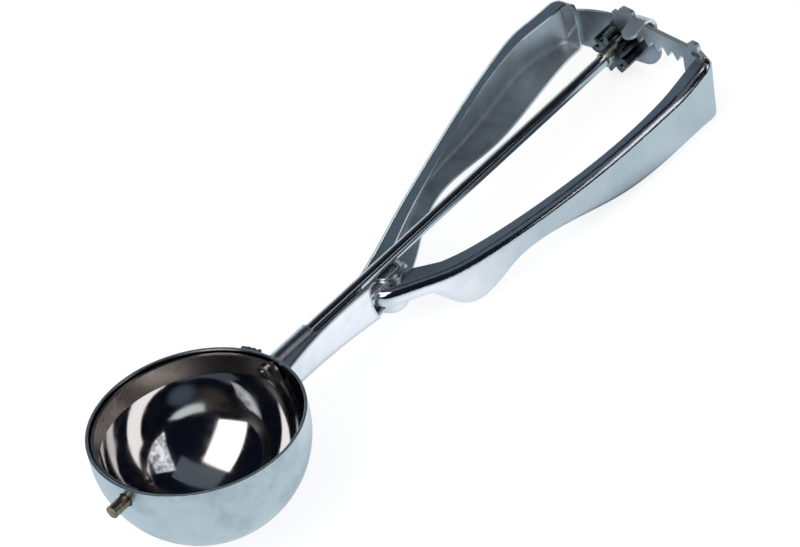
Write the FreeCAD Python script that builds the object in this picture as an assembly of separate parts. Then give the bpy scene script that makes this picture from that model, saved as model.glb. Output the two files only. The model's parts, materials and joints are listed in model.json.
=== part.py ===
import FreeCAD, Part
import math
import os

from FreeCAD import Vector

os.makedirs("parts", exist_ok=True)

# Lever ice cream scoop, in millimetres.
# The pieces are drawn in the tool's own directions: the centre of the bowl's sphere is the
# zero point, Y runs along the spindle to the far ends of the handles, Z points out of the
# bowl's mouth and X points to the lever that the fingers pull. At the end the whole tool is
# laid on a table, on the bowl and the two handles.

# sheet metal and clearances
sheet = 0.8
ear_gap = 0.05
weld_gap = 0.02
shaft_gap = 0.05

# bowl
bowl_inner_r = 28.0
bowl_wall = 0.8
rim_rise = 3.9

# spindle and the two peened ends
spindle_r = 1.75
neck_r = 1.3
peen_r = 2.1
peen_len = 0.7
peen_dimple_r = 1.0
peen_dimple_depth = 0.35

# scraper blade
blade_wall = 0.8
blade_width = 6.2
blade_to_bowl = 0.35
blade_tail = 5.4
tip_pin_r = 1.75
tip_pin_proud = 5.4
tip_hole_gap = 0.3

# rivet that the lever turns on
pivot_y = 75.0
rivet_r = 2.0
rivet_head_r = 4.3
rivet_head_len = 0.75
rivet_head_z = -2.05
rivet_tail_r = 4.7
rivet_tail_len = 3.2

# both handles: distances forward are measured from the rivet
handle_ear_r = 6.3
nose_r = 8.5
nose_from_deg = -86.5
nose_gap = 0.3
lever_nose_deg = -35.0
fixed_nose_deg = -15.0
ear_depth = 5.5
corner_r = 2.4
lever_end_corner_r = 3.0
fixed_end_corner_r = 4.4
rise_start = 6.5
rise_blend = 6.0
rise_slope = 0.126
low_edge_z = -9.2
bump_start = 3.2
bump_at = 14.0
bump_drop = 8.1
waist_at = 35.0
palm_at = 62.0
palm_drop = 1.8
heel_at = 82.0
heel_drop = 0.8
end_lift = 1.3
end_lift_at = 100.0

# how far each handle's outer wall stands out from the rivet, beside those places
cheek_at = 8.0
shoulder_at = 91.0
lever_out = {"ear": 10.2, "cheek": 15.3, "bump": 18.1, "waist": 25.4, "palm": 31.9, "heel": 34.8, "shoulder": 36.0}
fixed_out = {"ear": 8.85, "cheek": 11.3, "bump": 13.1, "waist": 18.1, "palm": 23.5, "heel": 26.4, "shoulder": 26.7}
lever_end_out = 38.0
fixed_end_out = 22.8

# width of the two flanges beside the same places; the lower one swells under the palm
top_flange = {"cheek": 5.6, "bump": 5.2, "waist": 4.3, "palm": 3.9, "heel": 4.5, "shoulder": 5.3}
low_flange = {"cheek": 6.4, "bump": 6.4, "waist": 5.8, "palm": 9.2, "heel": 10.7, "shoulder": 10.6}
lever_end_flange = 4.8
fixed_end_flange = 7.0
fixed_end_top_flange = 5.2

# gear and rack
module = 1.18
pinion_teeth = 9
pressure_deg = 30.0
pinion_addendum = 0.75
rack_addendum = 0.9
root_gap = 0.25
backlash = 0.42
pinion_front_y = 173.9
pinion_len = 6.3
collar_len = 3.1
collar_r = 2.25
rack_deg = 8.5
rack_y = 179.3
rack_wall = 1.3
rack_top_z = 10.9
rack_first_x = 0.9
rack_teeth = 7
tooth_tip_r = 0.3
rack_end_x = -0.9
lug_left_x = 2.2
lug_h = 2.7
stop_lug_h = 2.2
stop_lug_w = 3.6
foot_left_x = 26.2
foot_slant = 0.8
foot_inset = 2.6
foot_low_z = -4.0
lever_travel_deg = 9.0
stop_gap = 0.15

# bracket at the far end of the fixed handle
bracket_wall = 1.0
bracket_gap = 0.3
bracket_low_z = -5.7
bracket_top_z = 7.0
bracket_root_low_z = -6.9
bracket_root_top_z = 3.2
bracket_corner_r = 6.2
bracket_left_x = -21.0
strap_left_x = 7.5
strap_w = 4.4
strap_bend_r = 3.0
strap_bend_deg = 102.0
strap_gap = 0.5
strap_reach_y = 171.4

# stem
stem_top_z = 0.9
stem_end_y = 65.0
stem_notch_y = 44.0
stem_ear_r = 5.2
stem_lip = 1.7
stem_left_half = 3.2
stem_left_top_z = -1.2
stem_heel = 2.0
stem_collar_w = 1.0
tunnel_gap = 0.1
roll_wall = 0.5
groove_gap = 0.9
stem_stations = {
    "bowl": {"y": 24.0, "top_half": 7.2, "low_half": 7.4, "low_z": -4.8},
    "waist": {"y": 45.0, "top_half": 3.9, "low_half": 4.3, "low_z": -8.0},
    "pivot": {"y": 67.5, "top_half": 4.6, "low_half": 3.8, "low_z": -10.9},
}

# torsion spring round the rivet
wire_r = 0.45
coil_r = 3.4
coil_gap = 0.5
leg_reach = 30.0
leg_to_wall = 0.5

# weld run beside the stem
weld_r = 0.9
weld_from_deg = 97.6
weld_to_deg = 106.5

# sizes that follow from those above
bowl_outer_r = bowl_inner_r + bowl_wall
blade_outer_r = math.sqrt((bowl_inner_r - blade_to_bowl) ** 2 - (blade_width / 2) ** 2)
blade_inner_r = blade_outer_r - blade_wall
tooth_pitch = math.pi * module
pitch_r = module * pinion_teeth / 2
bracket_y = pinion_front_y + pinion_len + bracket_gap
rack_reach = (rack_y - pivot_y) * math.cos(math.radians(rack_deg))
stem_ear_z = rivet_head_z - rivet_head_len
lever_top_z = stem_ear_z - sheet - ear_gap
fixed_top_z = lever_top_z - sheet - ear_gap
lever_low_z = lever_top_z - ear_depth
fixed_low_z = fixed_top_z - ear_depth
stem_low_ear_z = fixed_low_z - ear_gap
rivet_tail_z = stem_low_ear_z - sheet
pivot = Vector(0, pivot_y, 0)
up = Vector(0, 0, 1)
along = Vector(0, 1, 0)


def cylinder_z(radius, low, high, x=0.0, y=0.0):
    return Part.makeCylinder(radius, high - low, Vector(x, y, low), up)


def cylinder_y(radius, start, end, x=0.0, z=0.0):
    return Part.makeCylinder(radius, end - start, Vector(x, start, z), along)


def block(x0, x1, y0, y1, z0, z1):
    return Part.makeBox(x1 - x0, y1 - y0, z1 - z0, Vector(x0, y0, z0))


def polygon_face(points):
    return Part.Face(Part.makePolygon(points + [points[0]]))


def spline(points, start=None, end=None):
    curve = Part.BSplineCurve()
    if start is None:
        curve.interpolate(points)
    else:
        curve.interpolate(Points=points, InitialTangent=start, FinalTangent=end)
    return curve


def bowl_form(radius, rise):
    """Half ball with a short straight rim, solid."""
    foot = Vector(0, 0, -radius)
    side = Vector(radius, 0, 0)
    half = Vector(radius * math.sin(math.pi / 4), 0, -radius * math.cos(math.pi / 4))
    edges = [
        Part.Arc(foot, half, side).toShape(),
        Part.makeLine(side, Vector(radius, 0, rise)),
        Part.makeLine(Vector(radius, 0, rise), Vector(0, 0, rise)),
        Part.makeLine(Vector(0, 0, rise), foot),
    ]
    return Part.Face(Part.Wire(edges)).revolve(Vector(0, 0, 0), up, 360)


def make_bowl():
    shell = bowl_form(bowl_outer_r, rim_rise).cut(bowl_form(bowl_inner_r, rim_rise + 1))
    shell = shell.cut(cylinder_y(spindle_r + shaft_gap, 0, bowl_outer_r + 1))
    return shell.cut(cylinder_y(tip_pin_r + tip_hole_gap, -bowl_outer_r - 1, 0))


def make_blade():
    """Half hoop inside the bowl, with a rounded tail past each of its two pins."""
    half = blade_width / 2
    hoop = cylinder_z(blade_outer_r, -half, half).cut(cylinder_z(blade_inner_r, -half, half))
    reach = blade_outer_r + 1
    outline = block(-reach, blade_tail - half, -reach, reach, -half, half)
    outline = outline.fuse(cylinder_y(half, -reach, reach, x=blade_tail - half))
    pins = cylinder_y(neck_r + weld_gap, -reach, reach)
    return hoop.common(outline).cut(pins)


def make_spindle():
    shoulder = blade_outer_r + weld_gap
    inside = math.sqrt(blade_inner_r ** 2 - peen_r ** 2) - weld_gap
    back = bracket_y - shaft_gap
    behind = bracket_y + bracket_wall + shaft_gap
    rod = cylinder_y(spindle_r, shoulder, back)
    rod = rod.fuse(cylinder_y(neck_r, inside - peen_len / 2, shoulder + 1))
    rod = rod.fuse(cylinder_y(peen_r, inside - peen_len, inside))
    punched = Part.makeCone(peen_dimple_r, peen_dimple_r / 3, peen_dimple_depth, Vector(0, inside - peen_len, 0), along)
    rod = rod.cut(punched)
    rod = rod.fuse(cylinder_y(neck_r, back - 1, behind + peen_len / 2))
    return rod.fuse(cylinder_y(peen_r, behind, behind + peen_len))


def make_tip_pin():
    shoulder = blade_outer_r + weld_gap
    inside = math.sqrt(blade_inner_r ** 2 - peen_r ** 2) - weld_gap
    pin = cylinder_y(tip_pin_r, -bowl_outer_r - tip_pin_proud, -shoulder)
    pin = pin.fuse(cylinder_y(neck_r, -shoulder - 1, -inside + peen_len / 2))
    return pin.fuse(cylinder_y(peen_r, -inside, -inside + peen_len))


def make_collar():
    start = pinion_front_y - collar_len
    ring = cylinder_y(collar_r, start, pinion_front_y)
    return ring.cut(cylinder_y(spindle_r + weld_gap, start, pinion_front_y))


def involute(angle):
    return math.tan(angle) - angle


def at_angle(radius, angle):
    return Vector(radius * math.cos(angle), 0, radius * math.sin(angle))


def gear_face(phase):
    """Gear outline square to Y, with one tooth's middle at the given angle."""
    pressure = math.radians(pressure_deg)
    base_r = pitch_r * math.cos(pressure)
    tip_r = pitch_r + pinion_addendum * module
    root_r = pitch_r - rack_addendum * module - root_gap
    half_pitch = (tooth_pitch / 2 - backlash / 2) / 2 / pitch_r
    half_base = half_pitch + involute(pressure)
    steps = 4
    radii = [base_r + (tip_r - base_r) * i / steps for i in range(steps + 1)]
    halves = [half_base - involute(math.acos(base_r / r)) for r in radii]
    edges = []
    last = None
    first = None
    for tooth in range(pinion_teeth):
        middle = phase + 2 * math.pi * tooth / pinion_teeth
        rise = [at_angle(r, middle - h) for r, h in zip(radii, halves)]
        fall = [at_angle(r, middle + h) for r, h in zip(radii, halves)]
        root_in = at_angle(root_r, middle - half_base)
        root_out = at_angle(root_r, middle + half_base)
        if last is None:
            first = root_in
        else:
            edges.append(Part.makeLine(last, root_in))
        edges.append(Part.makeLine(root_in, rise[0]))
        edges.append(spline(rise).toShape())
        edges.append(Part.Arc(rise[-1], at_angle(tip_r, middle), fall[-1]).toShape())
        edges.append(spline(fall[::-1]).toShape())
        edges.append(Part.makeLine(fall[0], root_out))
        last = root_out
    edges.append(Part.makeLine(last, first))
    return Part.Face(Part.Wire(edges))


def make_pinion():
    # a rack gap stands half a pitch before the first tooth, and a pinion tooth fills it
    gap_x = rack_first_x - tooth_pitch / 2
    phase = math.pi / 2 - gap_x / pitch_r
    gear = gear_face(phase).extrude(Vector(0, pinion_len, 0))
    gear.translate(Vector(0, pinion_front_y, 0))
    return gear.cut(cylinder_y(spindle_r + weld_gap, pinion_front_y - 1, bracket_y))


def along_rack(x):
    """Distance along the rack, from the point nearest the rivet, of a place x to the right."""
    turn = math.radians(rack_deg)
    return (x - rack_reach * math.sin(turn)) / math.cos(turn)


def make_rack():
    pitch_z = pitch_r
    tip_z = pitch_z - rack_addendum * module
    root_z = pitch_z + pinion_addendum * module + root_gap
    slope = math.tan(math.radians(pressure_deg))
    half = (tooth_pitch / 2 - backlash / 2) / 2
    tip_half = half - (pitch_z - tip_z) * slope
    root_half = half + (root_z - pitch_z) * slope
    lug_right = along_rack(strap_left_x) - stop_gap
    lug_left = along_rack(lug_left_x)
    travel = rack_reach * math.radians(lever_travel_deg)
    stop_left = along_rack(strap_left_x + strap_w) + travel + 3 * stop_gap
    stop_right = stop_left + stop_lug_w
    foot_left = along_rack(foot_left_x)
    foot_right = along_rack(lever_end_out) - foot_inset
    outline = [Vector(along_rack(rack_end_x), 0, rack_top_z), Vector(along_rack(rack_end_x), 0, root_z)]
    for tooth in range(rack_teeth):
        middle = along_rack(rack_first_x) + tooth * tooth_pitch
        for offset, z in ((-root_half, root_z), (-tip_half, tip_z), (tip_half, tip_z), (root_half, root_z)):
            outline.append(Vector(middle + offset, 0, z))
    outline += [
        Vector(foot_left - foot_slant, 0, root_z),
        Vector(foot_left + foot_slant, 0, foot_low_z),
        Vector(foot_right, 0, foot_low_z),
        Vector(foot_right, 0, rack_top_z - lug_h),
        Vector(stop_right, 0, rack_top_z),
        Vector(stop_right, 0, rack_top_z + stop_lug_h),
        Vector(stop_left, 0, rack_top_z + stop_lug_h),
        Vector(stop_left, 0, rack_top_z),
        Vector(lug_right, 0, rack_top_z),
        Vector(lug_right, 0, rack_top_z + lug_h),
        Vector(lug_left, 0, rack_top_z + lug_h),
        Vector(lug_left, 0, rack_top_z),
    ]
    plate = polygon_face(outline).extrude(Vector(0, rack_wall, 0))
    tips = [e for e in plate.Edges if e.BoundBox.YLength > rack_wall / 2 and abs(e.CenterOfMass.z - tip_z) < 0.01]
    plate = plate.makeFillet(tooth_tip_r, tips)
    lug_tops = [e for e in plate.Edges if e.BoundBox.YLength > rack_wall / 2
                and e.CenterOfMass.z > rack_top_z + stop_lug_h / 2]
    plate = plate.makeFillet(stop_lug_h / 2, lug_tops)
    plate.translate(Vector(0, pivot_y + rack_reach - rack_wall / 2, 0))
    plate.rotate(pivot, up, -rack_deg)
    return plate


def top_profile(top_z, drop):
    """Edges of a handle's top line seen from the side: flat round the rivet, then rising."""
    start = Vector(0, pivot_y - 3 * nose_r, top_z - drop)
    flat_end = Vector(0, pivot_y + rise_start, top_z - drop)
    blend_end = Vector(0, flat_end.y + 2 * rise_blend, flat_end.z + rise_blend * rise_slope)
    rising = Vector(0, 1, rise_slope)
    bend = spline([flat_end, blend_end], Vector(0, 1, 0) * 2 * rise_blend, rising * 2 * rise_blend)
    return [Part.makeLine(start, flat_end), bend.toShape(), Part.makeLine(blend_end, blend_end + rising * 120)]


def low_points():
    """The wavy lower line: finger bump, waist, palm swell, heel and lifted end."""
    level = low_edge_z
    return [
        Vector(0, pivot_y + bump_at, level - bump_drop),
        Vector(0, pivot_y + bump_at + (waist_at - bump_at) * 0.36, level - bump_drop * 0.7),
        Vector(0, pivot_y + bump_at + (waist_at - bump_at) * 0.68, level - bump_drop * 0.2),
        Vector(0, pivot_y + waist_at, level),
        Vector(0, pivot_y + palm_at, level - palm_drop),
        Vector(0, pivot_y + heel_at, level - heel_drop),
        Vector(0, pivot_y + end_lift_at, level + end_lift),
        Vector(0, pivot_y + end_lift_at + 18, level + 2.1 * end_lift),
    ]


def low_profile(ear_low_z, lift):
    start = Vector(0, pivot_y - 3 * nose_r, ear_low_z + lift)
    ear_end = Vector(0, pivot_y + bump_start, ear_low_z + lift)
    points = low_points()
    half_way = (ear_end + points[0] + Vector(0, 0, lift)) * 0.5 - Vector(0, 0.6, 0)
    points = [ear_end, half_way] + [p + Vector(0, 0, lift) for p in points]
    points.append(points[-1] + Vector(0, 15, 4))
    curve = spline(points, Vector(0, 9, 0), Vector(0, 20, 4))
    return [Part.makeLine(start, ear_end), curve.toShape()]


def side_prism(top_z, ear_low_z, inset):
    top = top_profile(top_z, inset)
    low = low_profile(ear_low_z, inset)
    back = Part.makeLine(low[0].Vertexes[0].Point, top[0].Vertexes[0].Point)
    front = Part.makeLine(low[-1].Vertexes[-1].Point, top[-1].Vertexes[-1].Point)
    face = Part.Face(Part.Wire(Part.__sortEdges__(top + low + [back, front])))
    prism = face.extrude(Vector(120, 0, 0))
    prism.translate(Vector(-60, 0, 0))
    return prism


def outer_wall(out, nose_deg, end_out, end_reach):
    """Plan curve of a handle's outer wall, from the nose's arc to past its far end."""
    leave = math.radians(nose_deg)
    start = Vector(nose_r * math.cos(leave), pivot_y + nose_r * math.sin(leave), 0)
    places = {"ear": 0, "cheek": cheek_at, "bump": bump_at, "waist": waist_at, "palm": palm_at,
              "heel": heel_at, "shoulder": shoulder_at}
    points = [start] + [Vector(out[name], pivot_y + at, 0) for name, at in places.items()]
    last = Vector(end_out, pivot_y + end_reach, 0)
    before = points[-1]
    points.append(last)
    points.append(last + (last - before) * 0.6)
    return points


def wall_curve(points, inset=0.0):
    """Smooth plan curve of a handle's wall, leaving the nose's arc without a kink."""
    spoke = points[0] - pivot
    leave = Vector(-spoke.y, spoke.x, 0).normalize()
    arrive = (points[-1] - points[-2]).normalize()
    outer = spline(points, leave, arrive)
    if not inset:
        return outer
    return spline(moved_in(outer, points, inset), leave, arrive)


def moved_in(curve, points, distance):
    """Points beside a plan curve, a distance to its left as it runs forward."""
    result = []
    for point in points:
        tangent = curve.tangent(curve.parameter(point))[0]
        result.append(point + Vector(-tangent.y, tangent.x, 0) * distance)
    return result


def reach_of(point, end_deg):
    """Distance of a point from the rivet, square to a handle's end wall."""
    turn = math.radians(end_deg)
    return (point.x - pivot.x) * math.sin(turn) + (point.y - pivot.y) * math.cos(turn)


def flange_edge(points, widths, end_width):
    """Plan curve of a flange's free edge, from beside the ear to past the far end."""
    wall = wall_curve(points)
    edge = []
    for point, width in zip(points[2:], list(widths.values()) + [end_width, end_width]):
        edge += moved_in(wall, [point], width)
    return edge


def plan_prism(points, inset, edge, end_reach, end_deg, end_corner_r):
    """Upright block from a handle's outer wall to a flange edge, or open if there is none."""
    outer_curve = wall_curve(points, inset)
    radius = nose_r - inset
    first = math.radians(nose_from_deg)
    start = outer_curve.StartPoint
    nose_start = Vector(radius * math.cos(first), pivot_y + radius * math.sin(first), 0)
    middle = (first + math.atan2(start.y - pivot_y, start.x)) / 2
    nose_middle = Vector(radius * math.cos(middle), pivot_y + radius * math.sin(middle), 0)
    edges = [Part.Arc(nose_start, nose_middle, start).toShape(), outer_curve.toShape()]
    tip = outer_curve.EndPoint
    if edge is None:
        corners = [tip, Vector(-60, tip.y + 20, 0), Vector(-60, nose_start.y, 0), nose_start]
    else:
        edges.append(Part.makeLine(tip, edge[-1]))
        edges.append(spline(edge).toShape())
        corners = [edge[0], pivot, Vector(nose_start.x, pivot_y - 2, 0), nose_start]
    for a, b in zip(corners, corners[1:]):
        edges.append(Part.makeLine(a, b))
    prism = Part.Face(Part.Wire(Part.__sortEdges__(edges))).extrude(Vector(0, 0, 80))
    prism.translate(Vector(0, 0, -40))
    end = block(-90, 90, pivot_y - 90, pivot_y + end_reach - inset, -45, 45)
    end.rotate(pivot, up, -end_deg)
    prism = prism.common(end)
    outermost = prism.BoundBox.XMax - 4 * end_corner_r
    corner = [e for e in prism.Edges if e.BoundBox.ZLength > 10 and e.CenterOfMass.x > outermost
              and abs(reach_of(e.CenterOfMass, end_deg) - end_reach + inset) < 0.01]
    corner.sort(key=lambda e: e.CenterOfMass.x)
    return prism.makeFillet(end_corner_r - inset, corner[-1:])


def outline_edges(shape, points, end_reach, end_deg, inset):
    """Edges of a handle's block where its top or underside meets the walls."""
    wall = wall_curve(points).toShape()
    chosen = []
    for edge in shape.Edges:
        middle = edge.valueAt((edge.FirstParameter + edge.LastParameter) / 2)
        if edge.BoundBox.ZLength > 0.9 * (edge.BoundBox.XLength + edge.BoundBox.YLength):
            continue
        flat = Vector(middle.x, middle.y, 0)
        beside_wall = abs(wall.distToShape(Part.Vertex(flat))[0] - inset) < 0.05
        round_nose = abs((flat - pivot).Length - nose_r + inset) < 0.02
        at_end = abs(reach_of(middle, end_deg) - end_reach + inset) < 0.01
        if beside_wall or round_nose or at_end:
            chosen.append(edge)
    return chosen


def handle_block(points, top_z, inset, edge, end_reach, end_deg, end_corner_r):
    shape = plan_prism(points, inset, edge, end_reach, end_deg, end_corner_r)
    shape = shape.common(side_prism(top_z, top_z - ear_depth, inset))
    return shape.makeFillet(corner_r - inset, outline_edges(shape, points, end_reach, end_deg, inset))


def beyond_top_flange(edge, top_z, end_reach, end_deg):
    """Space over the wide lower flange, inward of the narrower top one."""
    middle = top_z - ear_depth / 2
    outline = [spline(edge).toShape()]
    corners = [edge[-1], Vector(-60, edge[-1].y, 0), Vector(-60, pivot_y, 0), pivot, edge[0]]
    for a, b in zip(corners, corners[1:]):
        outline.append(Part.makeLine(a, b))
    plan = Part.Face(Part.Wire(Part.__sortEdges__(outline))).extrude(Vector(0, 0, 80))
    plan.translate(Vector(0, 0, -40))
    far = Vector(0, pivot_y + 120, middle + 120 * rise_slope / 2)
    side = [Vector(0, pivot_y - 20, middle), Vector(0, pivot_y, middle), far,
            Vector(0, far.y, 40), Vector(0, pivot_y - 20, 40)]
    above = polygon_face(side).extrude(Vector(120, 0, 0))
    above.translate(Vector(-60, 0, 0))
    before_end = block(-90, 90, pivot_y - 90, pivot_y + end_reach - 2 * sheet, -45, 45)
    before_end.rotate(pivot, up, -end_deg)
    return plan.common(above).common(before_end)


def make_handle(points, top_z, end_reach, end_deg, end_corner_r, end_flange, end_top_flange):
    """Pressed channel with its open side to the left, closed at the nose and at the end."""
    low_z = top_z - ear_depth
    low_edge = flange_edge(points, low_flange, end_flange)
    top_edge = flange_edge(points, top_flange, end_top_flange)
    shell = handle_block(points, top_z, 0, low_edge, end_reach, end_deg, end_corner_r)
    shell = shell.cut(beyond_top_flange(top_edge, top_z, end_reach, end_deg))
    ear = cylinder_z(handle_ear_r, low_z, top_z, y=pivot_y)
    hollow = handle_block(points, top_z, sheet, None, end_reach, end_deg, end_corner_r)
    hole = cylinder_z(rivet_r + shaft_gap, low_z - 1, top_z + 1, y=pivot_y)
    below_ear = cylinder_z(handle_ear_r + nose_gap, low_z - 20, low_z, y=pivot_y)
    return shell.fuse(ear).cut(hollow).cut(hole).cut(below_ear)


def make_lever():
    reach = rack_reach - rack_wall / 2
    points = outer_wall(lever_out, lever_nose_deg, lever_end_out, reach)
    return make_handle(points, lever_top_z, reach, rack_deg, lever_end_corner_r, lever_end_flange, lever_end_flange)


def make_fixed_handle():
    reach = bracket_y - pivot_y
    points = outer_wall(fixed_out, fixed_nose_deg, fixed_end_out, reach)
    shape = make_handle(points, fixed_top_z, reach, 0, fixed_end_corner_r, fixed_end_flange, fixed_end_top_flange)
    return shape.mirror(Vector(0, 0, 0), Vector(1, 0, 0))


def make_rivet():
    head = cylinder_z(rivet_head_r, stem_ear_z, rivet_head_z, y=pivot_y)
    head = head.makeFillet(rivet_head_len * 0.6, [e for e in head.Edges if abs(e.CenterOfMass.z - rivet_head_z) < 0.01])
    tail_end = rivet_tail_z - rivet_tail_len
    tail = cylinder_z(rivet_tail_r, tail_end, rivet_tail_z, y=pivot_y)
    tail = tail.makeFillet(rivet_tail_len * 0.5, [e for e in tail.Edges if abs(e.CenterOfMass.z - tail_end) < 0.01])
    shank = cylinder_z(rivet_r, rivet_tail_z - 0.5, stem_ear_z + 0.3, y=pivot_y)
    return shank.fuse(head).fuse(tail)


def stem_section(station, side_in, top_in, low_in):
    left = -stem_left_half + side_in
    half_top = station["top_half"] - side_in
    half_low = station["low_half"] - side_in
    top = stem_top_z - top_in
    low = station["low_z"] + low_in
    y = station["y"]
    corners = [Vector(left, y, top), Vector(half_top, y, top), Vector(half_low, y, low), Vector(left, y, low)]
    return Part.makePolygon(corners + corners[:1])


def stem_loft(side_in, top_in, low_in):
    sections = [stem_section(s, side_in, top_in, low_in) for s in stem_stations.values()]
    return Part.makeLoft(sections, True, False)


def beyond_stem_end():
    """Space past the hollowed end of the stem's walls."""
    low_z = stem_low_ear_z - 2 * sheet
    top = Vector(0, stem_end_y, stem_top_z + 5)
    start = Vector(0, stem_end_y, stem_top_z)
    middle = Vector(0, stem_end_y - 0.4, (stem_top_z + low_z) / 2 + 1)
    end = Vector(0, stem_end_y + stem_heel, low_z)
    far = stem_end_y + 20
    edges = [Part.makeLine(top, start), Part.Arc(start, middle, end).toShape()]
    corners = [end, Vector(0, far, low_z), Vector(0, far, top.z), top]
    for a, b in zip(corners, corners[1:]):
        edges.append(Part.makeLine(a, b))
    block_beyond = Part.Face(Part.Wire(edges)).extrude(Vector(40, 0, 0))
    block_beyond.translate(Vector(-20, 0, 0))
    return block_beyond


def make_stem():
    """Folded channel from the bowl to the rivet, open below, rolled over the spindle."""
    tunnel_r = spindle_r + tunnel_gap
    groove_r = spindle_r + groove_gap
    start = stem_stations["bowl"]["y"]
    far = stem_stations["pivot"]["y"]
    channel = stem_loft(0, 0, 0)
    hollow = stem_loft(sheet, sheet, sheet)
    slot = stem_loft(sheet + stem_lip, sheet, -1)
    slot = slot.common(block(-20, 20, start - 1, far + 1, -20, stem_top_z - 2 * sheet))
    bead = cylinder_y(tunnel_r + roll_wall, start, stem_notch_y)
    trough = cylinder_y(groove_r + sheet, stem_notch_y, far)
    trough = trough.common(block(-20, 20, 0, far, -20, stem_top_z))
    body = channel.cut(hollow).cut(slot).fuse(trough)
    # the sheet is trimmed low on the spindle's left, and rolled over it near the bowl
    body = body.cut(block(-20, 0, 0, far + 1, stem_left_top_z, 10)).fuse(bead).cut(beyond_stem_end())
    body = body.cut(cylinder_z(nose_r + nose_gap, stem_low_ear_z, stem_ear_z - sheet, y=pivot_y))
    # the two ears that hold the rivet
    for top, root_y in ((stem_ear_z, stem_end_y - 4), (stem_low_ear_z, stem_end_y)):
        left = -stem_left_half + sheet / 2
        tongue = block(left, groove_r + sheet / 2, root_y, pivot_y, top - sheet, top)
        body = body.fuse(tongue).fuse(cylinder_z(stem_ear_r, top - sheet, top, y=pivot_y))
    body = body.cut(cylinder_y(tunnel_r, start - 1, stem_notch_y + 0.1))
    body = body.cut(cylinder_y(groove_r, stem_notch_y, pivot_y))
    body = body.cut(block(-groove_r, groove_r, stem_notch_y, pivot_y + 10, 0, 10))
    body = body.cut(cylinder_z(rivet_r + weld_gap, -30, 5, y=pivot_y))
    return body.fuse(stem_flange()).cut(bowl_form(bowl_outer_r + weld_gap, rim_rise + 10))


def stem_flange():
    """Narrow strip round the stem's root that lies on the bowl."""
    station = stem_stations["bowl"]
    half_top = station["top_half"] + stem_collar_w
    half_low = station["low_half"] + stem_collar_w
    top = stem_top_z + stem_collar_w
    low = station["low_z"] - stem_collar_w - 1
    corners = [Vector(-half_top, 0, top), Vector(half_top, 0, top), Vector(half_low, 0, low), Vector(-half_low, 0, low)]
    strip = polygon_face(corners).extrude(Vector(0, 40, 0))
    roll = cylinder_y(spindle_r + tunnel_gap + roll_wall + sheet, 0, 40)
    strip = strip.fuse(roll.common(block(0, 10, 0, 40, -10, 10)))
    strip = strip.common(bowl_form(bowl_outer_r + weld_gap + sheet, rim_rise + 10))
    strip = strip.common(block(-30, 30, 10, 40, -20, rim_rise - 0.3))
    inner = [Vector(-stem_left_half + sheet, 0, stem_top_z - 2), Vector(half_top - 3, 0, stem_top_z - 2),
             Vector(half_low - 3, 0, low + 3), Vector(-stem_left_half + sheet, 0, low + 3)]
    strip = strip.cut(polygon_face(inner).extrude(Vector(0, 40, 0)))
    return strip.cut(cylinder_y(spindle_r + tunnel_gap, 0, bowl_outer_r + 5))


def make_bracket():
    """Plate behind the pinion that carries the spindle's end, with a strap over the rack."""
    left = bracket_left_x
    right = strap_left_x + strap_w
    low_left = Vector(left, 0, bracket_root_low_z)
    low_right = Vector(right, 0, bracket_low_z)
    top_right = Vector(right, 0, bracket_top_z)
    top_left = Vector(left, 0, bracket_root_top_z)
    arch = Part.Arc(top_right, Vector(left * 0.45, 0, bracket_top_z - 0.2), top_left).toShape()
    sides = [Part.makeLine(top_left, low_left), Part.makeLine(low_left, low_right), Part.makeLine(low_right, top_right)]
    plate = Part.Face(Part.Wire([arch] + sides)).extrude(Vector(0, bracket_wall, 0))
    corner = [e for e in plate.Edges if e.BoundBox.YLength > bracket_wall / 2
              and abs(e.CenterOfMass.x - right) < 0.01 and e.CenterOfMass.z < 0]
    plate = plate.makeFillet(bracket_corner_r, corner)
    plate.translate(Vector(0, bracket_y, 0))
    # strap: up, bent forward over the rack, ending in a round tab
    bend_z = rack_top_z + strap_gap - strap_bend_r
    bend_y = bracket_y - strap_bend_r
    neck = block(strap_left_x, right, bracket_y, bracket_y + bracket_wall, 0, bend_z)
    outer_r = strap_bend_r + bracket_wall
    ring = Part.makeCylinder(outer_r, strap_w, Vector(strap_left_x, bend_y, bend_z), Vector(1, 0, 0))
    ring = ring.cut(Part.makeCylinder(strap_bend_r, strap_w, Vector(strap_left_x, bend_y, bend_z), Vector(1, 0, 0)))
    quarter = block(strap_left_x, right, bend_y, bend_y + outer_r + 1, bend_z, bend_z + outer_r + 1)
    extra = quarter.copy()
    extra.rotate(Vector(0, bend_y, bend_z), Vector(1, 0, 0), strap_bend_deg - 90)
    bend = ring.common(quarter.fuse(extra))
    reach = bend_y - strap_reach_y
    radius = strap_w / 2
    tab = block(strap_left_x, right, bend_y - reach + radius, bend_y, bend_z + strap_bend_r, bend_z + outer_r)
    tab = tab.fuse(cylinder_z(radius, bend_z + strap_bend_r, bend_z + outer_r,
                              x=strap_left_x + radius, y=bend_y - reach + radius))
    tab.rotate(Vector(0, bend_y, bend_z), Vector(1, 0, 0), strap_bend_deg - 90)
    shape = plate.fuse(neck).fuse(bend).fuse(tab)
    return shape.cut(cylinder_y(neck_r + shaft_gap, bracket_y - 1, bracket_y + bracket_wall + 1))


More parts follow.
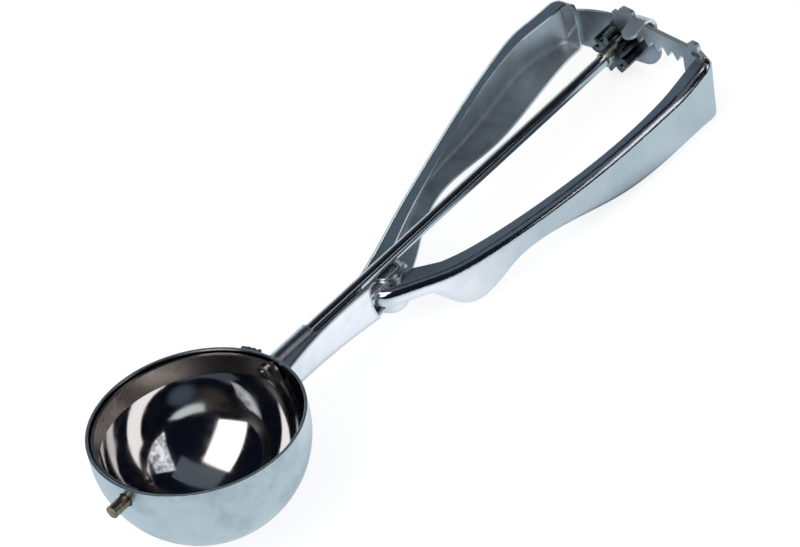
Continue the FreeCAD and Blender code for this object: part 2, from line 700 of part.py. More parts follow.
def biarc(start, start_way, end, end_way):
    """Two tangent arcs, as edges, from one point and direction to another."""
    span = end - start
    ways = start_way + end_way
    c = 2 * (1 - start_way.dot(end_way))
    b = span.dot(ways)
    if c < 1e-9:
        reach = span.dot(span) / (2 * b)
    else:
        reach = (-b + math.sqrt(b * b + c * span.dot(span))) / c
    first = start + start_way * reach
    second = end - end_way * reach
    joint = (first + second) * 0.5
    edges = []
    for a, corner, z in ((start, first, joint), (joint, second, end)):
        middle = (a + z) * 0.5
        half = (a - middle).Length
        turn = math.acos(min(1.0, half / (corner - a).Length))
        if turn < 1e-4:
            edges.append(Part.makeLine(a, z))
        else:
            edges.append(Part.Arc(a, middle + (corner - middle) * (math.tan(turn / 2) / math.tan(turn)), z).toShape())
    return edges


def leg_end(points, side):
    """Where a spring leg ends, just inside a handle's outer wall."""
    samples = wall_curve(points).discretize(400)
    nearest = min(samples, key=lambda p: abs(p.y - pivot_y - leg_reach))
    return Vector(side * (nearest.x - sheet - 2 * wire_r - leg_to_wall), nearest.y, 0)


def least_gap(path):
    """Smallest clear space between parts of the wire half a turn or more apart, on points."""
    points = path.discretize(Number=600)
    apart = math.ceil(math.pi * coil_r / (path.Length / 599))
    nearest = min((a - b).Length for i, a in enumerate(points) for b in points[i + apart:])
    return nearest - 2 * wire_r


def make_spring():
    """One and a half turns round the rivet, with a leg along each handle."""
    ends = {
        -1: leg_end(outer_wall(fixed_out, fixed_nose_deg, fixed_end_out, end_lift_at), -1),
        1: leg_end(outer_wall(lever_out, lever_nose_deg, lever_end_out, end_lift_at), 1),
    }
    angles = {}
    touches = {}
    for side, end in ends.items():
        away = end - pivot
        distance = Vector(away.x, away.y, 0).Length
        bearing = math.atan2(away.y, away.x)
        swing = math.acos(coil_r / distance)
        angle = bearing - side * swing
        angles[side] = angle
        touches[side] = pivot + Vector(coil_r * math.cos(angle), coil_r * math.sin(angle), 0)
    pitch = 2 * wire_r + coil_gap
    first = angles[-1]
    last = angles[1]
    while last < first + 2 * math.pi:
        last += 2 * math.pi
    turns = (last - first) / (2 * math.pi)
    room_top = fixed_top_z - sheet
    room_low = lever_low_z + sheet
    height = turns * pitch
    start_z = (room_top + room_low) / 2 + height / 2
    count = 6
    points = []
    ways = []
    for i in range(count + 1):
        angle = first + (last - first) * i / count
        z = start_z - height * i / count
        level = i in (0, count)
        points.append(pivot + Vector(coil_r * math.cos(angle), coil_r * math.sin(angle), z))
        slope = 0 if level else -pitch / (2 * math.pi)
        way = Vector(-coil_r * math.sin(angle), coil_r * math.cos(angle), slope)
        ways.append(way.normalize())
    edges = [Part.makeLine(Vector(ends[-1].x, ends[-1].y, points[0].z), points[0])]
    for i in range(count):
        edges += biarc(points[i], ways[i], points[i + 1], ways[i + 1])
    edges.append(Part.makeLine(points[-1], Vector(ends[1].x, ends[1].y, points[-1].z)))
    path = Part.Wire(edges)
    head = edges[0].Vertexes[0].Point
    run = (points[0] - head).normalize()
    section = Part.Wire(Part.makeCircle(wire_r, head, run))
    print("spring: turns %.2f, least gap to itself %.2f mm" % (turns, least_gap(path)))
    return path.makePipeShell([section], True, False)


def make_weld():
    """Short lumpy run of weld beside the stem, along the outside of the rim."""
    centre_r = bowl_outer_r + weld_r * 0.6
    count = 4
    lumps = None
    for i in range(count):
        angle = math.radians(weld_from_deg + (weld_to_deg - weld_from_deg) * i / (count - 1))
        z = rim_rise - weld_r * (1.0 + 0.12 * (i % 2))
        lump = Part.makeSphere(weld_r, Vector(centre_r * math.cos(angle), centre_r * math.sin(angle), z))
        lumps = lump if lumps is None else lumps.fuse(lump)
    return lumps.cut(bowl_form(bowl_outer_r + 2 * weld_gap, rim_rise + 10))


def resting_tilt():
    """Nose-up tilt at which the bowl and the handles' lower edges stand on one table."""
    curve = low_profile(fixed_low_z, 0)[1]
    samples = curve.discretize(200)
    steep = math.radians(20)
    level = 0.0
    for _ in range(40):
        middle = (steep + level) / 2
        lowest = min(p.z * math.cos(middle) - p.y * math.sin(middle) for p in samples if p.y < bracket_y)
        if lowest < -bowl_outer_r:
            steep = middle
        else:
            level = middle
    return math.degrees((steep + level) / 2)


pieces = {
    "bowl": make_bowl(),
    "stem": make_stem(),
    "weld_run": make_weld(),
    "fixed_handle": make_fixed_handle(),
    "end_bracket": make_bracket(),
    "pivot_rivet": make_rivet(),
    "torsion_spring": make_spring(),
    "lever": make_lever(),
    "rack": make_rack(),
    "spindle": make_spindle(),
    "collar": make_collar(),
    "pinion": make_pinion(),
    "scraper_blade": make_blade(),
    "tip_pin": make_tip_pin(),
}

tilt = resting_tilt()
for shape in pieces.values():
    shape.rotate(Vector(0, 0, 0), Vector(1, 0, 0), -tilt)
whole = FreeCAD.BoundBox()
for shape in pieces.values():
    whole.add(shape.optimalBoundingBox(False))
shift = Vector(-(whole.XMin + whole.XMax) / 2, -(whole.YMin + whole.YMax) / 2, -whole.ZMin)


def settled(point):
    """Where a point of the tool lies once the tool is on the table."""
    turned = FreeCAD.Rotation(Vector(1, 0, 0), -tilt).multVec(point)
    return turned + shift


for name, shape in pieces.items():
    shape.translate(shift)
    shape.exportStep("parts/%s.step" % name)
    print(name, "solids", len(shape.Solids), "volume %.1f" % shape.Volume, "valid", shape.isValid())
print("spindle through", settled(Vector(0, 0, 0)), "rivet through", settled(pivot))
print("tilt %.3f" % tilt, "shift", shift, "size", whole.XLength, whole.YLength, whole.ZLength)
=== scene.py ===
import json
import math
import bmesh
import bpy
from mathutils import Matrix, Vector


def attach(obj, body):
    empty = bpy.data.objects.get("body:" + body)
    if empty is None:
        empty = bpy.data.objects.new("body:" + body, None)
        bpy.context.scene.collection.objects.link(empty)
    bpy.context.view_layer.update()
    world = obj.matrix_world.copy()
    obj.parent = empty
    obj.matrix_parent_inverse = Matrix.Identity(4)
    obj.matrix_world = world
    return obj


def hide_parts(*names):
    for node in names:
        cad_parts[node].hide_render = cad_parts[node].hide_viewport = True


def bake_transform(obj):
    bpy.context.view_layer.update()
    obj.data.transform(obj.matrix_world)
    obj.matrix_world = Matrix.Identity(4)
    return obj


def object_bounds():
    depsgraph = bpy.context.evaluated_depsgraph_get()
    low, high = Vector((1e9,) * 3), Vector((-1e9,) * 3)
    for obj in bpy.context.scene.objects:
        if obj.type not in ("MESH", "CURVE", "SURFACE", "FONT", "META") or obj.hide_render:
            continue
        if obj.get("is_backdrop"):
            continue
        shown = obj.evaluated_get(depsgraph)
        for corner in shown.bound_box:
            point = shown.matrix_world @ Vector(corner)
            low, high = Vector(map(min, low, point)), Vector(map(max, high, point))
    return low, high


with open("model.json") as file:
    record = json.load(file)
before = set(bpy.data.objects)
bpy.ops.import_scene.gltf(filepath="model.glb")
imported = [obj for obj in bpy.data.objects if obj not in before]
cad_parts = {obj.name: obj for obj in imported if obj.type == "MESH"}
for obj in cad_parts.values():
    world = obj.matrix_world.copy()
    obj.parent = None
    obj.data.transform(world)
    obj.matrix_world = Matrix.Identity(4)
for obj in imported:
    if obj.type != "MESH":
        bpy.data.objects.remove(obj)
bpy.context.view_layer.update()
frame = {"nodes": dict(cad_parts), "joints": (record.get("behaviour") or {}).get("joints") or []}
scene = bpy.context.scene
scene.view_settings.view_transform = "Standard"
mm = 0.001

# the tool's own directions on the table: along it, towards its lever and out of the bowl's mouth
spindleJoint = next(j for j in frame["joints"] if j["name"] == "spindle_turn")
leverJoint = next(j for j in frame["joints"] if j["name"] == "lever_squeeze")
bowlCentre = Vector(spindleJoint["pos_m"])
alongTool = Vector(spindleJoint["axis"]).normalized()
toLever = Vector((1, 0, 0))
outOfMouth = toLever.cross(alongTool).normalized()
toolTurn = Matrix((toLever, alongTool, outOfMouth)).transposed()
restTilt = math.atan2(-alongTool.z, alongTool.y)
pivotAlong = (Vector(leverJoint["pos_m"]) - bowlCentre).dot(alongTool) / mm


def toTool(point):
    # a place on the table, in the tool's own directions and in millimetres
    return toolTurn.transposed() @ (point - bowlCentre) / mm


def toTable(point):
    return bowlCentre + toolTurn @ Vector(point) * mm


def smoothStep(value, low, high):
    share = min(1.0, max(0.0, (value - low) / (high - low)))
    return share * share * (3 - 2 * share)


def linearColour(hexCode):
    channels = [int(hexCode[i:i + 2], 16) / 255 for i in (1, 3, 5)]
    return (*[c / 12.92 if c <= 0.04045 else ((c + 0.055) / 1.055) ** 2.4 for c in channels], 1)


def addNode(tree, kind, links=None, **settings):
    node = tree.nodes.new(kind)
    for key, value in settings.items():
        setattr(node, key, value)
    for key, value in (links or {}).items():
        if isinstance(value, bpy.types.NodeSocket):
            tree.links.new(value, node.inputs[key])
        else:
            node.inputs[key].default_value = value
    return node


def mixColour(tree, factor, first, second):
    # each colour is a hex code or another node's socket
    node = addNode(tree, "ShaderNodeMix", {"Factor": factor}, data_type="RGBA")
    for socket, value in ((node.inputs[6], first), (node.inputs[7], second)):
        if isinstance(value, bpy.types.NodeSocket):
            tree.links.new(value, socket)
        else:
            socket.default_value = linearColour(value)
    return node.outputs[2]


# camera: where the photograph was taken from, in the tool's own directions and millimetres
cameraView = {
    "right": (0.7626, 0.6204, -0.1832), "back": (0.5823, -0.5351, 0.6120),
    "distance": 1400.0, "aimRight": 50.985, "aimUp": 40.311,
    "focalPixels": 5517.21, "imageWidth": 800, "sensor": 36, "nearest": 0.05,
}


def makeCamera():
    right = (toolTurn @ Vector(cameraView["right"])).normalized()
    back = toolTurn @ Vector(cameraView["back"])
    back = (back - right * back.dot(right)).normalized()
    up = back.cross(right)
    place = right * cameraView["aimRight"] + up * cameraView["aimUp"] + back * cameraView["distance"]
    data = bpy.data.cameras.new("camera")
    data.sensor_width = cameraView["sensor"]
    data.lens = data.sensor_width * cameraView["focalPixels"] / cameraView["imageWidth"]
    data.clip_start = cameraView["nearest"]
    camera = bpy.data.objects.new("camera", data)
    scene.collection.objects.link(camera)
    turned = Matrix((right, up, back)).transposed().to_4x4()
    camera.matrix_world = Matrix.Translation(bowlCentre + place * mm) @ turned
    scene.camera = camera


makeCamera()
print("camera ready")

# studio: the corners of each panel are directions from the bowl, and it stands that many metres away
panels = {
    "frontSoftbox": {"colour": "#FFFBF7", "glow": (1.9, 1.9), "away": 3.0,
                     "corners": [(0.349, -0.755, 0.555), (-0.181, -0.838, 0.514),
                                 (-0.205, -0.106, 0.973), (0.320, -0.054, 0.946)]},
    "foilReflector": {"colour": "#EEF1F6", "glow": (0.2, 1.7), "away": 3.0,
                      "corners": [(0.930, 0.030, 0.363), (0.503, 0.377, 0.777),
                                  (0.550, 0.653, 0.521), (0.820, 0.487, 0.300)]},
    "greyCard": {"colour": "#59626C", "glow": (1.0, 1.0), "away": 3.6,
                 "corners": [(0.623, 0.106, 0.775), (-0.163, -0.067, 0.984),
                             (-0.183, 0.287, 0.940), (0.443, 0.521, 0.729)]},
    "leftWindow": {"colour": "#DDE9E6", "glow": (1.5, 1.5), "away": 3.2,
                   "corners": [(-0.99, -0.12, 0.06), (-0.45, 0.88, 0.06),
                               (-0.45, 0.84, 0.24), (-0.96, -0.12, 0.26)]},
}
panelCreases = {"scale": 2.2, "detail": 5.0, "roughness": 0.7, "distortion": 1.5, "low": 0.38, "high": 0.66}
room = {"dark": "#0B101C", "white": "#FFFFFF", "fill": 0.6}
patches = {  # lighter parts of the dark room, as directions with an inner and an outer angle in degrees
    "backCeiling": {"toward": (-0.60, 0.36, 0.71), "inner": 10, "outer": 26, "colour": "#56636F"},
    "warmWall": {"toward": (-0.20, 0.95, 0.25), "inner": 10, "outer": 40, "colour": "#4C4642"},
}
tableTop = {  # places and lengths in metres
    "size": 8, "below": 0.0002, "paper": 0.35, "glow": 0.8, "white": "#FFFFFF",
    # seen only by polished steel: a tone from near to far, a painted pool of light, and painted shade
    # between the handles
    "mirrored": 1.3, "near": "#B3C1C9", "far": "#9DB6C8", "farFrom": 0.1, "farTo": 0.6,
    "paintedLightPool": "#F2F3F8", "paintedLightPoolAt": (0.026, -0.002, 0.0), "paintedLightPoolRadius": 0.045,
    "shade": "#39444E", "shadeAt": (0.006, 0.066, 0.0), "shadeRadius": 0.034,
}


def makePanel(name, panel):
    centre = sum((Vector(c).normalized() for c in panel["corners"]), Vector()).normalized()
    corners = [bowlCentre + Vector(c) * panel["away"] / Vector(c).dot(centre) for c in panel["corners"]]
    mesh = bpy.data.meshes.new(name)
    mesh.from_pydata(corners, [], [(0, 1, 2, 3)])
    material = bpy.data.materials.new(name + "Cloth")  # creased where its two levels of glow differ
    material.use_nodes = True
    tree = material.node_tree
    tree.nodes.clear()
    place = addNode(tree, "ShaderNodeTexCoord")
    creases = addNode(tree, "ShaderNodeTexNoise", {
        "Vector": place.outputs["Object"], "Scale": panelCreases["scale"], "Detail": panelCreases["detail"],
        "Roughness": panelCreases["roughness"], "Distortion": panelCreases["distortion"]})
    glow = addNode(tree, "ShaderNodeMapRange", {
        "Value": creases.outputs["Fac"], "From Min": panelCreases["low"], "From Max": panelCreases["high"],
        "To Min": panel["glow"][0], "To Max": panel["glow"][1]})
    light = addNode(tree, "ShaderNodeEmission", {
        "Color": linearColour(panel["colour"]), "Strength": glow.outputs["Result"]})
    addNode(tree, "ShaderNodeOutputMaterial", {"Surface": light.outputs[0]})
    mesh.materials.append(material)
    shown = bpy.data.objects.new(name, mesh)
    scene.collection.objects.link(shown)
    shown.visible_camera = False
    shown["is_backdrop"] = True


def makeRoom():
    # white to the eye, dark with soft patches where steel mirrors it, and a plain fill on matt surfaces
    world = bpy.data.worlds.new("room")
    scene.world = world
    world.use_nodes = True
    tree = world.node_tree
    tree.nodes.clear()
    place = addNode(tree, "ShaderNodeTexCoord")
    colour = room["dark"]
    for patch in patches.values():
        facing = addNode(tree, "ShaderNodeVectorMath", {
            0: place.outputs["Generated"], 1: Vector(patch["toward"]).normalized()}, operation="DOT_PRODUCT")
        share = addNode(tree, "ShaderNodeMapRange", {
            "Value": facing.outputs["Value"], "From Min": math.cos(math.radians(patch["outer"])),
            "From Max": math.cos(math.radians(patch["inner"]))}, interpolation_type="SMOOTHSTEP")
        colour = mixColour(tree, share.outputs["Result"], colour, patch["colour"])
    white = linearColour(room["white"])
    ray = addNode(tree, "ShaderNodeLightPath")
    mirrored = addNode(tree, "ShaderNodeBackground", {"Color": colour, "Strength": 1.0})
    fill = addNode(tree, "ShaderNodeBackground", {"Color": white, "Strength": room["fill"]})
    bright = addNode(tree, "ShaderNodeBackground", {"Color": white, "Strength": 1.0})
    lit = addNode(tree, "ShaderNodeMixShader", {
        0: ray.outputs["Is Glossy Ray"], 1: fill.outputs[0], 2: mirrored.outputs[0]})
    shown = addNode(tree, "ShaderNodeMixShader", {
        0: ray.outputs["Is Camera Ray"], 1: lit.outputs[0], 2: bright.outputs[0]})
    addNode(tree, "ShaderNodeOutputWorld", {"Surface": shown.outputs[0]})


def spotShare(tree, place, centre, inner, outer, atCentre=1.0):
    # atCentre inside the inner radius, and one less that beyond the outer radius
    distance = addNode(tree, "ShaderNodeVectorMath", {0: place, 1: Vector(centre)}, operation="DISTANCE")
    share = addNode(tree, "ShaderNodeMapRange", {
        "Value": distance.outputs["Value"], "From Min": inner, "From Max": outer,
        "To Min": atCentre, "To Max": 1 - atCentre}, interpolation_type="SMOOTHSTEP")
    return share.outputs["Result"]


def makeTable():
    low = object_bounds()[0].z
    bpy.ops.mesh.primitive_plane_add(size=tableTop["size"], location=(0, 0, low - tableTop["below"]))
    table = bpy.context.object
    table.name = "table"
    material = bpy.data.materials.new("whitePaper")  # matt paper: white to the eye, bluish in polished steel
    material.use_nodes = True
    tree = material.node_tree
    tree.nodes.clear()
    place = addNode(tree, "ShaderNodeTexCoord").outputs["Object"]
    ray = addNode(tree, "ShaderNodeLightPath")
    paper = addNode(tree, "ShaderNodeBsdfDiffuse", {"Color": (*[tableTop["paper"]] * 3, 1)})
    glow = addNode(tree, "ShaderNodeEmission", {
        "Color": linearColour(tableTop["white"]), "Strength": tableTop["glow"]})
    seen = addNode(tree, "ShaderNodeAddShader", {0: paper.outputs[0], 1: glow.outputs[0]})
    # what steel mirrors of the paper is painted light: grey near the pool turning bluer far off, a painted
    # pool of light, and painted shade between the handles
    far = spotShare(tree, place, tableTop["paintedLightPoolAt"], tableTop["farFrom"], tableTop["farTo"], atCentre=0.0)
    paintedLightPool = spotShare(tree, place, tableTop["paintedLightPoolAt"], 0.0, tableTop["paintedLightPoolRadius"])
    shade = spotShare(tree, place, tableTop["shadeAt"], tableTop["shadeRadius"] / 2, tableTop["shadeRadius"])
    colour = mixColour(tree, far, tableTop["near"], tableTop["far"])
    colour = mixColour(tree, paintedLightPool, colour, tableTop["paintedLightPool"])
    colour = mixColour(tree, shade, colour, tableTop["shade"])
    mirrored = addNode(tree, "ShaderNodeEmission", {"Color": colour, "Strength": tableTop["mirrored"]})
    shown = addNode(tree, "ShaderNodeMixShader", {
        0: ray.outputs["Is Glossy Ray"], 1: seen.outputs[0], 2: mirrored.outputs[0]})
    addNode(tree, "ShaderNodeOutputMaterial", {"Surface": shown.outputs[0]})
    table.data.materials.append(material)
    table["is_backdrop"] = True


for panelName, panelSizes in panels.items():
    makePanel(panelName, panelSizes)
makeRoom()
makeTable()
print("studio ready")

# materials: sizes in millimetres, and grain as waves per millimetre across, along and up the tool;
# real polishing lines are finer, and are drawn as coarse as they need to be to show
looks = {
    # buffed 18/8 stainless sheet: bright, with faint lines along the tool
    "buffedSheet": {"clean": "#DEE2E5", "stained": "#D2D7DB", "stainSize": 16, "grain": (5, 0.3, 5),
                    "lineRough": 0.04, "rough": (0.08, 0.12), "bump": 0.12, "edge": 0.25},
    # the same sheet as pressed, never buffed: dull and grey
    "pressedSheet": {"clean": "#DCE3E8", "stained": "#C3CBD1", "stainSize": 9, "grain": (2.5, 0.5, 2.5),
                     "lineRough": 0.06, "rough": (0.42, 0.50), "bump": 0.3, "edge": 0.25},
    # stainless folded over a bar and linished: near white, soft shoulder
    "foldedStem": {"clean": "#E6E9ED", "stained": "#DCE0E5", "stainSize": 12, "grain": (5, 0.2, 5),
                   "lineRough": 0.05, "rough": (0.13, 0.20), "bump": 0.2, "edge": 1.6},
    # spring stainless strip, brushed round its curve: warm grey
    "brushedBlade": {"clean": "#A29A95", "stained": "#8C8580", "stainSize": 12, "grain": (0.3, 0.3, 6),
                     "lineRough": 0.04, "rough": (0.22, 0.27), "bump": 0.15, "edge": 0.2},
    # stainless plate as stamped: flat light grey, no mirror
    "stampedRack": {"clean": "#E9F0F4", "stained": "#D3DCE2", "stainSize": 6, "grain": (0.5, 5, 5),
                    "lineRough": 0.06, "rough": (0.34, 0.42), "bump": 0.3, "edge": 0.2},
    # the bracket's plate: satin and darker, with a painted highlight from a height upwards that lightens the
    # strap over the rack
    "bracketSheet": {"clean": "#A9B1B8", "stained": "#8F979E", "stainSize": 7, "grain": (2.5, 0.5, 2.5),
                     "lineRough": 0.08, "rough": (0.30, 0.40), "bump": 0.3, "edge": 0.25,
                     "paintedHighlight": "#FAFCFD", "paintedHighlightFrom": 8.8, "paintedHighlightTo": 9.6},
    # carbon steel gear, hobbed and greasy: dark, with small bright edges
    "cutPinion": {"clean": "#6C7378", "stained": "#3E4246", "stainSize": 2, "grain": (4, 0.6, 4),
                  "lineRough": 0.06, "rough": (0.14, 0.26), "bump": 0.3, "edge": 0.15},
    # cold-drawn stainless rod: mirror-like, with draw lines along it
    "drawnRod": {"clean": "#D9DDE0", "stained": "#C6CBCE", "stainSize": 8, "grain": (8, 0.15, 8),
                 "lineRough": 0.06, "rough": (0.07, 0.13), "bump": 0.25, "edge": 0.1},
    # turned and nickel plated bush: a little yellow
    "nickelCollar": {"clean": "#D8D5CB", "stained": "#BDB9AD", "stainSize": 2, "grain": (6, 0.5, 6),
                     "lineRough": 0.10, "rough": (0.25, 0.35), "bump": 0.3, "edge": 0.1},
    # brass-coloured tarnish on a steel pin
    "tarnishedPin": {"clean": "#A4957F", "stained": "#6E6252", "stainSize": 1.5, "grain": (4, 1, 4),
                     "lineRough": 0.10, "rough": (0.22, 0.38), "bump": 0.5, "edge": 0.15},
    # oil-tempered spring wire: grey, semi-gloss
    "springWire": {"clean": "#8A8E92", "stained": "#6C7074", "stainSize": 2, "grain": (4, 4, 4),
                   "lineRough": 0.05, "rough": (0.18, 0.26), "bump": 0.2, "edge": 0.05},
    # fused weld metal: scaled, dark and uneven
    "weldMetal": {"clean": "#868B8F", "stained": "#3F4143", "stainSize": 0.8, "grain": (3, 3, 3),
                  "lineRough": 0.15, "rough": (0.22, 0.40), "bump": 0.8, "edge": 0.05},
}
stainNoise = {"detail": 5.0, "roughness": 0.6, "low": 0.4, "high": 0.68}
lineNoise = {"scale": 1.0, "detail": 3.0, "depth": 0.01}


def toolPlace(tree):
    # coordinates in the tool's own directions, in millimetres
    place = addNode(tree, "ShaderNodeTexCoord")
    turned = addNode(tree, "ShaderNodeMapping", {
        "Vector": place.outputs["Object"], "Location": bowlCentre, "Rotation": (-restTilt, 0, 0),
        "Scale": (mm, mm, mm)}, vector_type="TEXTURE")
    return turned.outputs["Vector"]


def makeSteel(name, look):
    # metal: a clean tone and a stained one, rougher where stained, with grain drawn out one way, and on some
    # looks a painted highlight from a height upwards
    material = bpy.data.materials.new(name)
    material.use_nodes = True
    tree = material.node_tree
    shader = tree.nodes["Principled BSDF"]
    shader.inputs["Metallic"].default_value = 1.0
    place = toolPlace(tree)
    stain = addNode(tree, "ShaderNodeTexNoise", {
        "Vector": place, "Scale": 1 / look["stainSize"], "Detail": stainNoise["detail"],
        "Roughness": stainNoise["roughness"]})
    stained = addNode(tree, "ShaderNodeMapRange", {
        "Value": stain.outputs["Fac"], "From Min": stainNoise["low"], "From Max": stainNoise["high"]},
        interpolation_type="SMOOTHSTEP")
    tone = mixColour(tree, stained.outputs["Result"], look["clean"], look["stained"])
    # painted highlight: where the look has one, the tone turns lighter from a height upwards, standing in
    # for light falling on the strap
    if "paintedHighlight" in look:
        height = addNode(tree, "ShaderNodeSeparateXYZ", {0: place}).outputs["Z"]
        paintedHighlight = addNode(tree, "ShaderNodeMapRange", {
            "Value": height, "From Min": look["paintedHighlightFrom"], "From Max": look["paintedHighlightTo"]})
        tone = mixColour(tree, paintedHighlight.outputs["Result"], tone, look["paintedHighlight"])
    tree.links.new(tone, shader.inputs["Base Color"])
    stretched = addNode(tree, "ShaderNodeMapping", {"Vector": place, "Scale": look["grain"]})
    lines = addNode(tree, "ShaderNodeTexNoise", {
        "Vector": stretched.outputs["Vector"], "Scale": lineNoise["scale"], "Detail": lineNoise["detail"]})
    rough = addNode(tree, "ShaderNodeMapRange", {
        "Value": stained.outputs["Result"], "To Min": look["rough"][0], "To Max": look["rough"][1]})
    lined = addNode(tree, "ShaderNodeMath", {
        0: lines.outputs["Fac"], 1: look["lineRough"], 2: rough.outputs["Result"]}, operation="MULTIPLY_ADD")
    tree.links.new(lined.outputs[0], shader.inputs["Roughness"])
    soft = addNode(tree, "ShaderNodeBevel", {"Radius": look["edge"] * mm}, samples=4)
    bump = addNode(tree, "ShaderNodeBump", {
        "Height": lines.outputs["Fac"], "Strength": look["bump"], "Distance": lineNoise["depth"] * mm,
        "Normal": soft.outputs["Normal"]})
    tree.links.new(bump.outputs["Normal"], shader.inputs["Normal"])
    return material


steels = {name: makeSteel(name, look) for name, look in looks.items()}

# the bowl is buffed to a mirror inside and satin outside, where it is handled
bowlLook = {
    "innerRadius": 28.4, "inside": "#D3D2D3", "inRough": 0.045, "outRough": 0.22,
    "steel": {"clean": "#DDE2E5", "stained": "#C0C8CD", "stainSize": 14, "grain": (0.6, 0.6, 0.6),
              "lineRough": 0.02, "rough": (0.0, 0.08), "bump": 0.05, "edge": 0.25},
}


def makeBowlSteel():
    material = makeSteel("spunBowl", bowlLook["steel"])
    tree = material.node_tree
    shader = tree.nodes["Principled BSDF"]
    radius = addNode(tree, "ShaderNodeVectorMath", {0: toolPlace(tree)}, operation="LENGTH")
    outside = addNode(tree, "ShaderNodeMath", {
        0: radius.outputs["Value"], 1: bowlLook["innerRadius"]}, operation="GREATER_THAN").outputs[0]
    finish = addNode(tree, "ShaderNodeMapRange", {
        "Value": outside, "To Min": bowlLook["inRough"], "To Max": bowlLook["outRough"]})
    worn = shader.inputs["Roughness"].links[0].from_socket
    rough = addNode(tree, "ShaderNodeMath", {0: worn, 1: finish.outputs["Result"]}, operation="ADD")
    tree.links.new(rough.outputs[0], shader.inputs["Roughness"])
    tone = shader.inputs["Base Color"].links[0].from_socket
    tree.links.new(mixColour(tree, outside, bowlLook["inside"], tone), shader.inputs["Base Color"])
    return material


steels["spunBowl"] = makeBowlSteel()
wearers = {
    "bowl": "spunBowl", "stem": "foldedStem", "end_bracket": "bracketSheet", "pivot_rivet": "buffedSheet",
    "scraper_blade": "brushedBlade", "pinion": "cutPinion", "spindle": "drawnRod",
    "collar": "nickelCollar", "tip_pin": "tarnishedPin",
}
for nodeName, steelName in wearers.items():
    node = frame["nodes"][nodeName]
    node.data.materials.clear()
    node.data.materials.append(steels[steelName])
print("materials ready")

# copies of nodes: corners closer than mergeGap millimetres are joined, and folds of sharpFold degrees
# or more stay sharp
mergeGap = 0.0005
sharpFold = 32


def copyShell(nodeName):
    shell = bmesh.new()
    shell.from_mesh(frame["nodes"][nodeName].data)
    bmesh.ops.remove_doubles(shell, verts=shell.verts, dist=mergeGap * mm)
    return shell


def addPiece(shell, pieceName, *steelNames):
    for face in shell.faces:
        face.smooth = True
    for edge in shell.edges:
        edge.smooth = len(edge.link_faces) == 2 and edge.calc_face_angle(0) < math.radians(sharpFold)
    mesh = bpy.data.meshes.new(pieceName)
    shell.to_mesh(mesh)
    shell.free()
    for name in steelNames:
        mesh.materials.append(steels[name])
    piece = bpy.data.objects.new(pieceName, mesh)
    scene.collection.objects.link(piece)
    return piece


# handles: copies of the pressed shells, flared up at their far ends, with dull insides; turn is each
# one's angle to the tool's length, and the flare fades out from the height flareTo down to flareFrom
handles = {
    "lever": {"body": "lever_arm", "turn": 8.5, "flare": 3.9, "reach": 1.5, "flareLength": 15.0,
              "flareFrom": -3.0, "flareTo": 6.0},
    "fixed_handle": {"body": "scoop", "turn": 0.0, "flare": 1.8, "reach": 0.0, "flareLength": 12.0,
                     "flareFrom": -3.0, "flareTo": 6.0},
}
flareCuts = (1.0, 0.8, 0.62, 0.46, 0.32, 0.2, 0.1)  # cuts across the flare, as shares of its length
sliceLength = 4  # millimetres of the channel that share one middle
facingMiddle = 0.2  # a face that looks at that middle more than this is inside


def forwardAlong(turnDegrees):
    turn = math.radians(turnDegrees)
    return Vector((math.sin(turn), math.cos(turn), 0))


def raiseEnd(shell, sizes):
    forward = forwardAlong(sizes["turn"])
    pivot = Vector((0, pivotAlong, 0))
    end = max((v.co - pivot).dot(forward) for v in shell.verts)
    for cut in flareCuts:
        everything = shell.verts[:] + shell.edges[:] + shell.faces[:]
        across = pivot + forward * (end - cut * sizes["flareLength"])
        bmesh.ops.bisect_plane(shell, geom=everything, plane_co=across, plane_no=forward)
    for vertex in shell.verts:
        share = ((vertex.co - pivot).dot(forward) - end) / sizes["flareLength"] + 1
        if share > 0:
            rise = smoothStep(vertex.co.z, sizes["flareFrom"], sizes["flareTo"])
            vertex.co.z += sizes["flare"] * share * share * rise
            vertex.co += forward * sizes["reach"] * share * share * rise
    bmesh.ops.triangulate(shell, faces=[f for f in shell.faces if len(f.verts) > 3])


def markInside(shell):
    # faces that look towards the middle of their slice of the channel get the second, dull steel
    slices = {}
    for face in shell.faces:
        centre = face.calc_center_median()
        slices.setdefault(round(centre.y / sliceLength), []).append(centre)
    middles = {}
    for key, centres in slices.items():
        xs = [c.x for c in centres]
        zs = [c.z for c in centres]
        middles[key] = ((min(xs) + max(xs)) / 2, (min(zs) + max(zs)) / 2)
    for face in shell.faces:
        centre = face.calc_center_median()
        x, z = middles[round(centre.y / sliceLength)]
        inward = Vector((x - centre.x, 0, z - centre.z))
        face.material_index = 1 if face.normal.dot(inward) > facingMiddle else 0


def makeHandle(nodeName, sizes):
    shell = copyShell(nodeName)
    for vertex in shell.verts:
        vertex.co = toTool(vertex.co)
    raiseEnd(shell, sizes)
    markInside(shell)
    for vertex in shell.verts:
        vertex.co = toTable(vertex.co)
    piece = addPiece(shell, nodeName + "Shell", "buffedSheet", "pressedSheet")
    weighted = piece.modifiers.new("faceNormals", "WEIGHTED_NORMAL")
    weighted.keep_sharp = True
    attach(piece, sizes["body"])
    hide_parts(nodeName)


for handleName, handleSizes in handles.items():
    makeHandle(handleName, handleSizes)
print("handles ready")

# rack: its foot steps back inside the lever's end
rackFoot = {"left": 25.0, "top": 4.5, "stepBack": 1.6}


def stepFootBack(shell):
    turn = math.radians(handles["lever"]["turn"])
    for vertex in shell.verts:
        place = toTool(vertex.co)
        if place.x * math.cos(turn) > rackFoot["left"] and place.z < rackFoot["top"]:
            place -= forwardAlong(handles["lever"]["turn"]) * rackFoot["stepBack"]
        vertex.co = toTable(place)


rackShell = copyShell("rack")
stepFootBack(rackShell)
rackPlate = addPiece(rackShell, "rackPlate", "stampedRack")
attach(rackPlate, "lever_arm")
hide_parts("rack")

bentSpring = addPiece(copyShell("torsion_spring"), "bentSpring", "springWire")
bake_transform(bentSpring)
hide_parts("torsion_spring")
print("rack and spring ready")

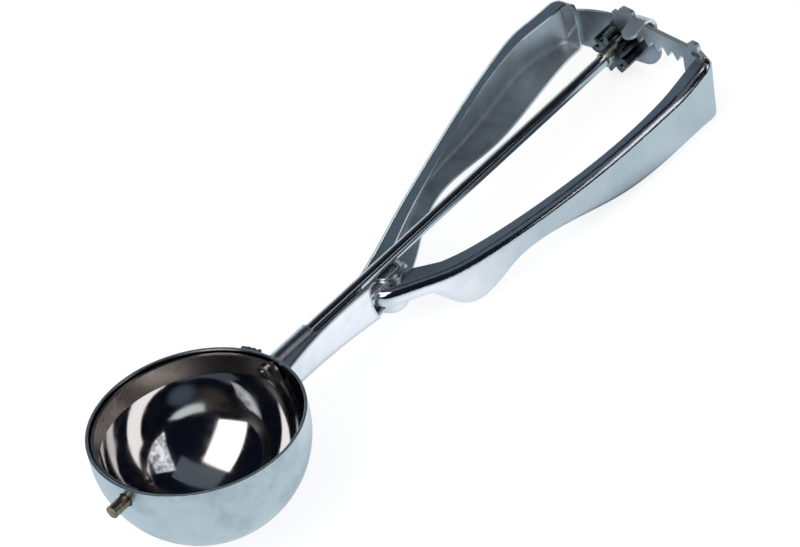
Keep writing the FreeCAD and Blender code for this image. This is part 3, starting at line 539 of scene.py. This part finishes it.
# weld: a row of uneven beads along the rim beside the stem, in millimetres and degrees
weldBeads = {
    "radius": 29.6, "fromDegrees": 97.6, "sweepDegrees": 8.9, "beads": 7, "beadRadius": 0.78,
    "lumpSize": 0.25, "seed": 4, "height": 3.0, "smallest": (0.75, 0.75, 0.6), "largest": (1.05, 1.2, 1.1),
    "arcPoints": 32, "beadSplits": 3, "lumpScale": 1.4, "lumpDetail": 2.0,
}
weldInputs = ("radius", "fromDegrees", "sweepDegrees", "beads", "beadRadius", "lumpSize", "seed")


def weldTree():
    tree = bpy.data.node_groups.new("weldBeads", "GeometryNodeTree")
    tree.interface.new_socket("Geometry", in_out="OUTPUT", socket_type="NodeSocketGeometry")
    for key in weldInputs:
        kind = "NodeSocketInt" if isinstance(weldBeads[key], int) else "NodeSocketFloat"
        tree.interface.new_socket(key, in_out="INPUT", socket_type=kind)
    sizes = addNode(tree, "NodeGroupInput").outputs
    start = addNode(tree, "ShaderNodeMath", {0: sizes["fromDegrees"]}, operation="RADIANS")
    sweep = addNode(tree, "ShaderNodeMath", {0: sizes["sweepDegrees"]}, operation="RADIANS")
    arc = addNode(tree, "GeometryNodeCurveArc", {
        "Radius": sizes["radius"], "Start Angle": start.outputs[0], "Sweep Angle": sweep.outputs[0],
        "Resolution": weldBeads["arcPoints"]})
    places = addNode(tree, "GeometryNodeCurveToPoints", {
        "Curve": arc.outputs["Curve"], "Count": sizes["beads"]})
    bead = addNode(tree, "GeometryNodeMeshIcoSphere", {
        "Radius": sizes["beadRadius"], "Subdivisions": weldBeads["beadSplits"]})
    growth = addNode(tree, "FunctionNodeRandomValue", {"Seed": sizes["seed"]}, data_type="FLOAT_VECTOR")
    growth.inputs["Min"].default_value = weldBeads["smallest"]
    growth.inputs["Max"].default_value = weldBeads["largest"]
    copies = addNode(tree, "GeometryNodeInstanceOnPoints", {
        "Points": places.outputs["Points"], "Instance": bead.outputs["Mesh"],
        "Scale": growth.outputs["Value"]})
    solid = addNode(tree, "GeometryNodeRealizeInstances", {"Geometry": copies.outputs["Instances"]})
    lumps = addNode(tree, "ShaderNodeTexNoise", {
        "Scale": weldBeads["lumpScale"], "Detail": weldBeads["lumpDetail"]})
    centred = addNode(tree, "ShaderNodeMath", {0: lumps.outputs["Fac"], 1: 0.5}, operation="SUBTRACT")
    height = addNode(tree, "ShaderNodeMath", {
        0: centred.outputs[0], 1: sizes["lumpSize"]}, operation="MULTIPLY")
    normal = addNode(tree, "GeometryNodeInputNormal").outputs[0]
    outward = addNode(tree, "ShaderNodeVectorMath", {
        0: normal, "Scale": height.outputs[0]}, operation="SCALE")
    lumpy = addNode(tree, "GeometryNodeSetPosition", {
        "Geometry": solid.outputs["Geometry"], "Offset": outward.outputs[0]})
    dressed = addNode(tree, "GeometryNodeSetMaterial", {
        "Geometry": lumpy.outputs["Geometry"], "Material": steels["weldMetal"]})
    addNode(tree, "NodeGroupOutput", {"Geometry": dressed.outputs["Geometry"]})
    return tree


def makeWeld():
    holder = bpy.data.objects.new("weldHolder", bpy.data.meshes.new("weldHolder"))
    scene.collection.objects.link(holder)
    modifier = holder.modifiers.new("beads", "NODES")
    modifier.node_group = weldTree()
    for item in modifier.node_group.interface.items_tree:
        if item.in_out == "INPUT":
            modifier[item.identifier] = weldBeads[item.name]
    evaluated = holder.evaluated_get(bpy.context.evaluated_depsgraph_get())
    mesh = bpy.data.meshes.new_from_object(evaluated)
    bpy.data.objects.remove(holder)
    for vertex in mesh.vertices:
        vertex.co = toTable(vertex.co + Vector((0, 0, weldBeads["height"])))
    mesh.shade_smooth()
    weld = bpy.data.objects.new("weldBeads", mesh)
    scene.collection.objects.link(weld)
    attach(weld, "scoop")
    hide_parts("weld_run")


makeWeld()
print("weld ready")
